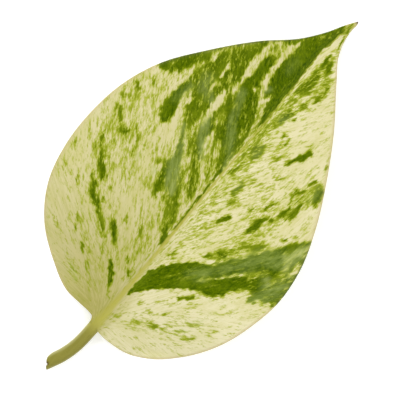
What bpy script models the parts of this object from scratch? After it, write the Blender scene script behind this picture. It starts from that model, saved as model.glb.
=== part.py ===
"""One cut leaf of a variegated pothos, lying face up: blade, midrib and petiole, grown as one piece.

The script works in metres with +Z up.  +Y runs along the blade from the petiole to the tip, and +X
points to the leaf's right half.  The origin is at the bottom centre of the leaf's bounding box.
The leaf's own values are in millimetres, from the point where the petiole's axis enters the blade.
"""
import bmesh
import bpy
import numpy as np

MM = 0.001

# Driving dimensions, in millimetres.
BLADE_LENGTH = 115.0  # from the petiole to the tip
BLADE_THICKNESS = 0.45
MARGIN_THICKNESS = 0.28
PETIOLE_HALF_WIDTH = 1.9
PETIOLE_HALF_HEIGHT = 1.8
CUT_HALF_WIDTH = 2.25  # the cut is oblique, so it is wider than the petiole
KEEL_DEPTH = 2.9  # how far the midrib stands out below the blade beside the petiole
GROOVE_DEPTH = 0.35  # how far the midrib is sunk in the blade's upper face

# The blade's edge on each side, from the petiole round to the tip, as (across, along).
LEFT_MARGIN = [(-1.0, -1.9), (-1.7, -0.8), (-3.4, -0.3), (-6.5, -0.2), (-11.5, 0.0), (-20.6, 4.0),
               (-30.3, 11.0), (-36.7, 20.0), (-40.2, 32.0), (-40.9, 44.0), (-39.5, 56.0),
               (-35.2, 68.0), (-27.3, 80.0), (-17.8, 92.0), (-9.0, 101.0), (-4.9, 107.0),
               (-1.8, 113.0), (-0.2, 115.3)]
RIGHT_MARGIN = [(2.95, -2.5), (4.6, -2.8), (8.5, -2.7), (13.3, -2.0), (19.4, 1.0), (26.5, 8.0),
                (32.0, 17.0), (35.6, 29.0), (36.7, 38.0), (35.1, 50.0), (30.5, 62.0), (24.0, 74.0),
                (16.3, 86.0), (6.9, 98.0), (2.5, 104.0), (0.6, 109.0), (-0.2, 115.3)]

# The midrib's place across the leaf, and the height of its upper face, each as (along, value).
MIDRIB_ACROSS = [(-1.6, 1.0), (10.0, 0.9), (20.0, 0.7), (30.0, 0.4), (50.0, -0.2), (66.0, -0.7),
                 (80.0, -1.1), (91.0, -1.7), (100.0, -2.25), (109.0, -1.4), (115.3, -0.2)]
MIDRIB_HEIGHT = [(-20.0, 3.2), (-2.0, 3.9), (12.0, 4.7), (30.0, 5.9), (50.0, 6.2), (70.0, 5.5),
                 (90.0, 3.8), (104.0, 2.1), (115.3, 0.1)]

# The petiole's axis from its cut end to the blade, and the way across it at each end, in degrees.
PETIOLE_AXIS = [(-2.3, -19.4), (-1.5, -17.6), (-0.75, -15.9), (-0.1, -14.0), (0.4, -12.0),
                (0.75, -10.0), (0.95, -7.5), (1.0, -5.0), (1.0, -3.1)]
CUT_ANGLE = -50.0
JUNCTION_ANGLE = -9.0
PETIOLE_CHANNEL = 0.12  # depth of the shallow channel along the petiole's top, over its half height

# How the two halves lift from the midrib, and how the leaf meets the surface that it lies on.
RISE = {-1: 0.21, 1: 0.16}  # slope beside the midrib
RECURVE = {-1: 0.0016, 1: 0.0011}  # how fast that slope falls off towards the margin, per mm
FLAT_BASE = 0.55  # share of the rise that is missing beside the petiole, where the halves lie flatter
LOBE_DROOP = {-1: 9.5, 1: 8.7}  # how far the basal lobes hang
CONTACT_EASE = 0.15  # the underside flattens smoothly over this height where it meets the surface

# The lateral veins, which the blade's sections follow: degrees from the leaf's length at each end.
VEIN_LEAVES = 26.0
VEIN_TURN_IN = {-1: 30.0, 1: 8.0}  # the last veins turn in towards the tip

ROWS = 44  # sections along the blade
COLUMNS = 9  # points from the midrib out to either margin
PETIOLE_ROWS = 9

LEAF_COLOUR = (0.58, 0.56, 0.23, 1.0)
LEAF_ROUGHNESS = 0.5


def along(points, fraction):
    """Points of the smooth cubic through the given ones, at fractions of its arc length."""
    points = np.array(points, float)
    knots = np.concatenate(([0.0], np.cumsum(np.linalg.norm(np.diff(points, axis=0), axis=1))))
    slopes = np.gradient(points, knots, axis=0)

    def at(place):
        left = np.clip(np.searchsorted(knots, place, side="right") - 1, 0, len(knots) - 2)
        span = (knots[left + 1] - knots[left])[:, None]
        s = (place - knots[left])[:, None] / span
        start = (2 * s**3 - 3 * s**2 + 1) * points[left] + (s**3 - 2 * s**2 + s) * span * slopes[left]
        end = (3 * s**2 - 2 * s**3) * points[left + 1] + (s**3 - s**2) * span * slopes[left + 1]
        return start + end

    fine = np.linspace(0.0, knots[-1], 1200)
    arc = np.concatenate(([0.0], np.cumsum(np.linalg.norm(np.diff(at(fine), axis=0), axis=1))))
    return at(np.interp(np.asarray(fraction) * arc[-1], arc, fine))


def reading(points, place):
    """Second coordinate of the smooth curve through the points, where its first one is place."""
    curve = along(points, np.linspace(0.0, 1.0, 400))
    return np.interp(place, curve[:, 0], curve[:, 1])


def half_blade(side, fraction, step):
    """Plan of one half as (section, column, xy): each section is a cubic curve that leaves the
    midrib as a lateral vein does and ends on the margin, at a fraction of the margin's length."""
    margin = along(LEFT_MARGIN if side < 0 else RIGHT_MARGIN, fraction)
    first, last = MIDRIB_ACROSS[0][0], MIDRIB_ACROSS[-1][0]
    y = first + (last - first) * (0.22 * fraction + 0.30 * fraction**3 + 0.48 * fraction**5)
    midrib = np.stack([reading(MIDRIB_ACROSS, y), y], axis=-1)
    leaves = np.radians(VEIN_LEAVES + 60.0 * (1 - fraction) ** 3)
    spread = 60.0 + 68.0 * (1 - np.exp(-fraction / 0.03))
    arrives = np.radians(spread * (1 - fraction) ** 1.6 - VEIN_TURN_IN[side] * fraction**6)
    reach = np.linalg.norm(margin - midrib, axis=-1)[:, None]
    inner = midrib + 0.38 * reach * np.stack([side * np.sin(leaves), np.cos(leaves)], axis=-1)
    outer = margin - 0.36 * reach * np.stack([side * np.sin(arrives), np.cos(arrives)], axis=-1)
    a, b, c, d = (corner[:, None, :] for corner in (midrib, inner, outer, margin))
    s = step[None, :, None]
    return (1 - s) ** 3 * a + 3 * (1 - s) ** 2 * s * b + 3 * (1 - s) * s**2 * c + s**3 * d


def upper_face(side, x, y):
    """Height of a half's upper face: the midrib's, plus a rise that eases off towards the margin,
    less the midrib's groove and the droop of the basal lobe."""
    off = np.abs(x - reading(MIDRIB_ACROSS, y))
    opening = 1 - FLAT_BASE * np.exp(-((y / 25.0) ** 2))
    rise = RISE[side] * opening * (np.sqrt(off**2 + 4.0) - 2.0) - RECURVE[side] * off**2
    groove = GROOVE_DEPTH * np.exp(-((off / 1.3) ** 2))
    droop = LOBE_DROOP[side] * np.exp(-((y / 13.0) ** 2)) * off**2 / (off**2 + 16.0**2)
    return reading(MIDRIB_HEIGHT, y) + rise - groove - droop


def blade_depth(x, y, step):
    """Thickness of the blade, thinner at its margin, with the midrib's round keel below it."""
    half_width = PETIOLE_HALF_WIDTH * (1 - 0.7 * y / BLADE_LENGTH)
    off = (x - reading(MIDRIB_ACROSS, y)) / half_width
    keel = KEEL_DEPTH * (1 - y / 120.0) ** 1.8 * np.clip(1 - off**2, 0.0, 1.0) ** 0.8
    return BLADE_THICKNESS + (MARGIN_THICKNESS - BLADE_THICKNESS) * step**8 + keel


def settle(height):
    """Lays what would sink below the surface flat on it, with a smooth run-out."""
    eased = (height + CONTACT_EASE) ** 2 / (4 * CONTACT_EASE)
    return np.where(height >= CONTACT_EASE, height, np.where(height <= -CONTACT_EASE, 0.0, eased))


def blade_rings():
    """Closed sections of the blade: across its top from left to right, and back underneath."""
    fraction = 1 - (1 - np.arange(ROWS) / ROWS) ** 1.3
    step = (np.arange(COLUMNS + 1) / COLUMNS) ** 1.5
    top, bottom = [], []
    for side in (-1, 1):
        plan = half_blade(side, fraction, step)
        x, y = plan[..., 0], plan[..., 1]
        depth = blade_depth(x, y, step)
        under = settle(upper_face(side, x, y) - depth)
        top.append(np.stack([x, y, under + depth], axis=-1))
        bottom.append(np.stack([x, y, under], axis=-1))
    across_top = [top[0][:, ::-1], top[1][:, 1:]]
    back_below = [bottom[1][:, ::-1], bottom[0][:, 1:]]
    return np.concatenate(across_top + back_below, axis=1)


def petiole_rings():
    """Closed sections of the petiole, from its oblique cut to the blade: an oval round its axis,
    with a shallow channel along the top, in the same order of points as the blade's."""
    s = np.linspace(0.0, 1.0, PETIOLE_ROWS)[:, None]
    axis = along(PETIOLE_AXIS, s[:, 0])
    turn = np.radians(JUNCTION_ANGLE + (CUT_ANGLE - JUNCTION_ANGLE) * (1 - s) ** 3)
    half_width = PETIOLE_HALF_WIDTH + (CUT_HALF_WIDTH - PETIOLE_HALF_WIDTH) * (1 - s) ** 3
    quarter = np.linspace(0.0, 0.95, COLUMNS + 1) * np.pi / 2
    sideways = np.concatenate([-quarter[::-1], quarter[1:]])
    out, lift = np.sin(sideways), np.cos(sideways)
    x = axis[:, :1] + half_width * np.cos(turn) * out
    y = axis[:, 1:] + half_width * np.sin(turn) * out
    middle = reading(MIDRIB_HEIGHT, axis[:, 1:]) - (1 - PETIOLE_CHANNEL) * PETIOLE_HALF_HEIGHT
    channel = 1 - PETIOLE_CHANNEL * np.exp(-((out / 0.45) ** 2))
    top = np.stack([x, y, middle + PETIOLE_HALF_HEIGHT * lift * channel], axis=-1)
    bottom = np.stack([x, y, settle(middle - PETIOLE_HALF_HEIGHT * lift)], axis=-1)
    return np.concatenate([top, bottom[:, ::-1]], axis=1)


def leaf_mesh():
    """Joins the sections from the cut end to the tip, and closes both ends."""
    rings = np.concatenate([petiole_rings(), blade_rings()])
    tip = np.append(along(LEFT_MARGIN, [1.0])[0], 0.5 * MARGIN_THICKNESS)
    points = np.concatenate([rings.reshape(-1, 3), [tip]])
    low, high = points.min(axis=0), points.max(axis=0)
    points -= [(low[0] + high[0]) / 2, (low[1] + high[1]) / 2, low[2]]
    points *= MM

    model = bmesh.new()
    corners = [model.verts.new(point) for point in points]
    size = rings.shape[1]
    for row in range(len(rings) - 1):
        for i in range(size):
            j = (i + 1) % size
            near, far = row * size, (row + 1) * size
            model.faces.new([corners[n] for n in (near + i, near + j, far + j, far + i)])
    last = (len(rings) - 1) * size
    for i in range(size):
        model.faces.new([corners[last + i], corners[last + (i + 1) % size], corners[-1]])
    model.faces.new(corners[size - 1::-1])
    bmesh.ops.triangulate(model, faces=model.faces, quad_method="FIXED", ngon_method="EAR_CLIP")
    mesh = bpy.data.meshes.new("leaf")
    model.to_mesh(mesh)
    model.free()
    mesh.shade_smooth()
    return mesh


def leaf_material():
    """Cream and green leaf tissue under a thin wax."""
    material = bpy.data.materials.new("leaf_tissue")
    material.use_nodes = True
    surface = material.node_tree.nodes["Principled BSDF"]
    surface.inputs["Base Color"].default_value = LEAF_COLOUR
    surface.inputs["Roughness"].default_value = LEAF_ROUGHNESS
    surface.inputs["Metallic"].default_value = 0.0
    return material


for old in list(bpy.data.objects):
    bpy.data.objects.remove(old, do_unlink=True)
leaf = bpy.data.objects.new("leaf", leaf_mesh())
leaf.data.materials.append(leaf_material())
bpy.context.scene.collection.objects.link(leaf)
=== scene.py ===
"""Looks of a cut variegated pothos leaf that lies face up on a pale table.

The leaf is one grown piece, so it is one closed mesh: its sections run from the cut end of the
petiole to the tip, and each follows a pair of lateral veins from the midrib out to the margins.
The leaf's own values are in millimetres, measured from where the petiole's axis enters the blade:
x across the leaf, y along it and z above the table.  The marbling is painted on with strokes, as
the dividing tissue leaves it: long streaks that follow the veins, broken up by fine speckle.
"""

import bpy
import numpy as np
from mathutils import Matrix, Vector


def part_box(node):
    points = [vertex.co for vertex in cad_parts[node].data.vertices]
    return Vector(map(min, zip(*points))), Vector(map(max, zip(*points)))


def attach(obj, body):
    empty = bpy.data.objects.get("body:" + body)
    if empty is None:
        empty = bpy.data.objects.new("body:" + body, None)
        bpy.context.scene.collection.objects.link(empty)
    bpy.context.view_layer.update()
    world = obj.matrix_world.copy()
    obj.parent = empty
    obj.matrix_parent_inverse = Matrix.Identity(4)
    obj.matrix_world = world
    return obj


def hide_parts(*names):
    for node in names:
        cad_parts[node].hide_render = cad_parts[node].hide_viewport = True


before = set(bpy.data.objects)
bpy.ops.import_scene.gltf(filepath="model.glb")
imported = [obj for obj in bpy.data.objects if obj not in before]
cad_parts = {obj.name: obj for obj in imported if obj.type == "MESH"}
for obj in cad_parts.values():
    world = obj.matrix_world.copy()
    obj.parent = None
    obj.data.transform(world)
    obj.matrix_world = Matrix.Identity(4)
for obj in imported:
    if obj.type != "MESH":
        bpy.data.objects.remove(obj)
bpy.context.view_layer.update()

MM = 0.001

# ------------------------------------------------------------------ the leaf's own measures

BLADE_LENGTH = 115.0
BLADE_THICKNESS = 0.45
MARGIN_THICKNESS = 0.28
PETIOLE_HALF_WIDTH = 1.9
PETIOLE_HALF_HEIGHT = 1.8
CUT_HALF_WIDTH = 2.15
MIDRIB_TAPER = 0.7  # the share of its width that the midrib loses on the way to the tip
KEEL_DEPTH = 2.9
KEEL_LENGTH = 120.0
GROOVE_DEPTH = 0.35
GROOVE_HALF_WIDTH = 1.3
COLLAR_DEPTH = 1.3  # how much thicker the blade's narrow base is, beside the petiole
COLLAR_REACH = 2.0  # sections shorter than this have all of the collar, and it fades over the next
COLLAR_FADE = 1.2

# The margins and the petiole's axis are given as (x, y), and what varies along the leaf, such as
# where the midrib runs, as (y, value).
LEFT_MARGIN = [(-0.95, -1.7), (-1.5, -0.6), (-3.2, -0.3), (-6.5, -0.2), (-11.5, 0.0), (-20.6, 4.0),
               (-30.3, 11.0), (-36.7, 20.0), (-40.2, 32.0), (-40.9, 44.0), (-39.5, 56.0),
               (-35.2, 68.0), (-27.3, 80.0), (-17.8, 92.0), (-9.0, 101.0), (-4.9, 107.0),
               (-1.7, 113.0), (-0.4, 115.0), (0.0, 115.6)]
RIGHT_MARGIN = [(2.95, -2.8), (4.6, -3.15), (8.5, -3.05), (13.3, -2.2), (19.4, 1.0), (26.5, 8.0),
                (32.0, 17.0), (35.6, 29.0), (36.7, 38.0), (35.1, 50.0), (30.5, 62.0), (24.0, 74.0),
                (16.3, 86.0), (6.9, 98.0), (2.5, 104.0), (0.75, 109.0), (0.3, 113.0), (0.35, 115.0),
                (0.0, 115.6)]
MIDRIB_ACROSS = [(-1.6, 1.0), (10.0, 0.9), (20.0, 0.7), (30.0, 0.4), (50.0, -0.2), (66.0, -0.7),
                 (80.0, -1.1), (91.0, -1.7), (100.0, -2.25), (109.0, -1.3), (115.6, 0.0)]
MIDRIB_HEIGHT = [(-20.0, 3.2), (-2.0, 3.9), (12.0, 4.7), (30.0, 5.9), (50.0, 6.2), (70.0, 5.5),
                 (90.0, 3.8), (104.0, 2.1), (115.6, 0.1)]
PETIOLE_AXIS = [(-2.45, -19.75), (-1.55, -17.7), (-0.75, -15.9), (-0.1, -14.0), (0.4, -12.0),
                (0.75, -10.0), (0.95, -7.5), (1.0, -5.0), (1.0, -3.1)]
CUT_ANGLE = -54.0  # how far, in degrees, the petiole's width is turned at the cut, and at the blade
JUNCTION_ANGLE = -9.0
CHANNEL_DEPTH = 0.12  # the petiole's channel, over the petiole's half height and half width
CHANNEL_HALF_WIDTH = 0.45

# Of two values, the one at -1 is the left half's and the one at 1 is the right half's.
RISE = {-1: 0.21, 1: 0.16}  # the slope that each half rises at, away from the midrib
MIDRIB_EASE = 2.0  # how far out the slope takes to start
RECURVE = {-1: 0.0016, 1: 0.0011}
FLAT_BASE = 0.55  # the share of the slope that is missing at the base
FLAT_BASE_REACH = 25.0
LOBE_DROOP = {-1: 9.5, 1: 8.7}
DROOP_REACH = 13.0  # how far up the leaf the droop goes
DROOP_HALF_WAY = 16.0  # how far off the midrib half of it is reached
CONTACT_EASE = 0.15
WAVE_HEIGHT = 0.35
WAVE_COUNT = 3.3
ROLL_DEPTH = 0.25
VEIN_PAIRS = 11  # strong lateral veins on each side
QUILT_HEIGHT = 0.11  # how far the tissue swells between two strong veins

# The sections, with their angles off the midrib's way in degrees.
SPACING = [(1, 0.22), (3, 0.30), (5, 0.48)]  # powers of a section's fraction, and their shares
VEIN_LEAVES = 26.0
BASE_LEAVES_WIDER = 60.0
BASE_ARRIVES = 60.0
LOBE_ARRIVES_WIDER = 68.0
LOBE_SHARE = 0.03  # the fraction of the margin over which the first angle gives way to the lobe's
VEIN_TURN_IN = {-1: 30.0, 1: 8.0}
FIRST_HANDLE = 0.38  # the lengths of the cubic curve's handles, over the section's reach
LAST_HANDLE = 0.36

ROWS = 270
TOP_COLUMNS = 105
UNDER_COLUMNS = 44
PETIOLE_ROWS = 36

ARC_STEPS = 1200  # how finely a curve's length is measured, and how finely it is read
READING_STEPS = 400


# ------------------------------------------------------------------ curves and the blade's shape

def along(points, fraction):
    """Points of a smooth curve through the given ones, at fractions of its arc length: between
    two of them it is the Hermite cubic whose slopes are the differences of their neighbours."""
    points = np.array(points, float)
    knots = np.concatenate(([0.0], np.cumsum(np.linalg.norm(np.diff(points, axis=0), axis=1))))
    slopes = np.gradient(points, knots, axis=0)

    def at(place):
        left = np.clip(np.searchsorted(knots, place, side="right") - 1, 0, len(knots) - 2)
        span = (knots[left + 1] - knots[left])[:, None]
        s = (place - knots[left])[:, None] / span
        start = (2 * s**3 - 3 * s**2 + 1) * points[left]
        start = start + (s**3 - 2 * s**2 + s) * span * slopes[left]
        end = (3 * s**2 - 2 * s**3) * points[left + 1]
        end = end + (s**3 - s**2) * span * slopes[left + 1]
        return start + end

    fine = np.linspace(0.0, knots[-1], ARC_STEPS)
    arc = np.concatenate(([0.0], np.cumsum(np.linalg.norm(np.diff(at(fine), axis=0), axis=1))))
    return at(np.interp(np.asarray(fraction) * arc[-1], arc, fine))


def reading(points, place):
    """Second coordinate of the smooth curve through the points, where its first one is place."""
    curve = along(points, np.linspace(0.0, 1.0, READING_STEPS))
    return np.interp(place, curve[:, 0], curve[:, 1])


def smoothstep(low, high, value):
    """0 below low, 1 above high, and the cubic 3s^2 - 2s^3 between them."""
    s = np.clip((value - low) / (high - low), 0.0, 1.0)
    return s * s * (3 - 2 * s)


def half_blade(side, fraction, step):
    """Plan of one half as (section, column, xy): each section is a cubic curve that leaves the
    midrib as a lateral vein does and ends on the margin, at a fraction of the margin's length.
    Its place on the midrib is a sum of that fraction's powers, so sections crowd together at the
    base, where they fan out round the lobe."""
    margin = along(LEFT_MARGIN if side < 0 else RIGHT_MARGIN, fraction)
    first, last = MIDRIB_ACROSS[0][0], MIDRIB_ACROSS[-1][0]
    y = first + (last - first) * sum(share * fraction**power for power, share in SPACING)
    midrib = np.stack([reading(MIDRIB_ACROSS, y), y], axis=-1)
    leaves = np.radians(VEIN_LEAVES + BASE_LEAVES_WIDER * (1 - fraction) ** 3)
    spread = BASE_ARRIVES + LOBE_ARRIVES_WIDER * (1 - np.exp(-fraction / LOBE_SHARE))
    arrives = np.radians(spread * (1 - fraction) ** 1.6 - VEIN_TURN_IN[side] * fraction**6)
    reach = np.linalg.norm(margin - midrib, axis=-1)[:, None]
    outward = np.stack([side * np.sin(leaves), np.cos(leaves)], axis=-1)
    inner = midrib + FIRST_HANDLE * reach * outward
    onward = np.stack([side * np.sin(arrives), np.cos(arrives)], axis=-1)
    outer = margin - LAST_HANDLE * reach * onward
    a, b, c, d = (corner[:, None, :] for corner in (midrib, inner, outer, margin))
    s = step[None, :, None]
    return (1 - s) ** 3 * a + 3 * (1 - s) ** 2 * s * b + 3 * (1 - s) * s**2 * c + s**3 * d


def upper_face(side, x, y, fraction, step):
    """Height of a half's upper face: the midrib's, plus a rise that eases off towards the margin,
    less the midrib's groove and the droop of the basal lobe; the tissue swells a little between
    the strong lateral veins, and the margin rolls down and waves."""
    off = np.abs(x - reading(MIDRIB_ACROSS, y))
    opening = 1 - FLAT_BASE * np.exp(-((y / FLAT_BASE_REACH) ** 2))
    eased = np.sqrt(off**2 + MIDRIB_EASE**2) - MIDRIB_EASE
    rise = RISE[side] * opening * eased - RECURVE[side] * off**2
    groove = GROOVE_DEPTH * np.exp(-((off / GROOVE_HALF_WIDTH) ** 2))
    droop = LOBE_DROOP[side] * np.exp(-((y / DROOP_REACH) ** 2))
    droop = droop * off**2 / (off**2 + DROOP_HALF_WAY**2)
    between = np.abs(np.sin(np.pi * VEIN_PAIRS * fraction)) ** 0.8
    quilt = QUILT_HEIGHT * between * np.sin(np.pi * step) * smoothstep(0.04, 0.2, fraction)
    wave = WAVE_HEIGHT * np.sin(2 * np.pi * (WAVE_COUNT * fraction + 0.2 * side))
    wave = wave * smoothstep(0.1, 0.3, fraction)
    roll = step**6 * (wave * (1 - fraction) - ROLL_DEPTH)
    return reading(MIDRIB_HEIGHT, y) + rise - groove - droop + quilt + roll


def blade_depth(x, y, step, reach):
    """Thickness of the blade: thinner at its margin, with the midrib's round keel below it, and
    with a collar in the short first sections, which join the petiole."""
    half_width = PETIOLE_HALF_WIDTH * (1 - MIDRIB_TAPER * y / BLADE_LENGTH)
    off = (x - reading(MIDRIB_ACROSS, y)) / half_width
    keel = KEEL_DEPTH * (1 - y / KEEL_LENGTH) ** 1.8 * np.clip(1 - off**2, 0.0, 1.0) ** 0.8
    collar = COLLAR_DEPTH * np.exp(-np.maximum(reach - COLLAR_REACH, 0.0) / COLLAR_FADE)
    collar = collar * np.clip(1 - 0.5 * keel, 0.0, 1.0) * smoothstep(12.0, 3.0, y)
    return BLADE_THICKNESS + (MARGIN_THICKNESS - BLADE_THICKNESS) * step**8 + keel + collar


def settle(height):
    """Lays what would sink below the table flat on it: heights within the ease of it follow a
    parabola that meets both the table and the higher parts smoothly."""
    eased = (height + CONTACT_EASE) ** 2 / (4 * CONTACT_EASE)
    return np.where(height >= CONTACT_EASE, height, np.where(height <= -CONTACT_EASE, 0.0, eased))


# ------------------------------------------------------------------ the marbling

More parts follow.
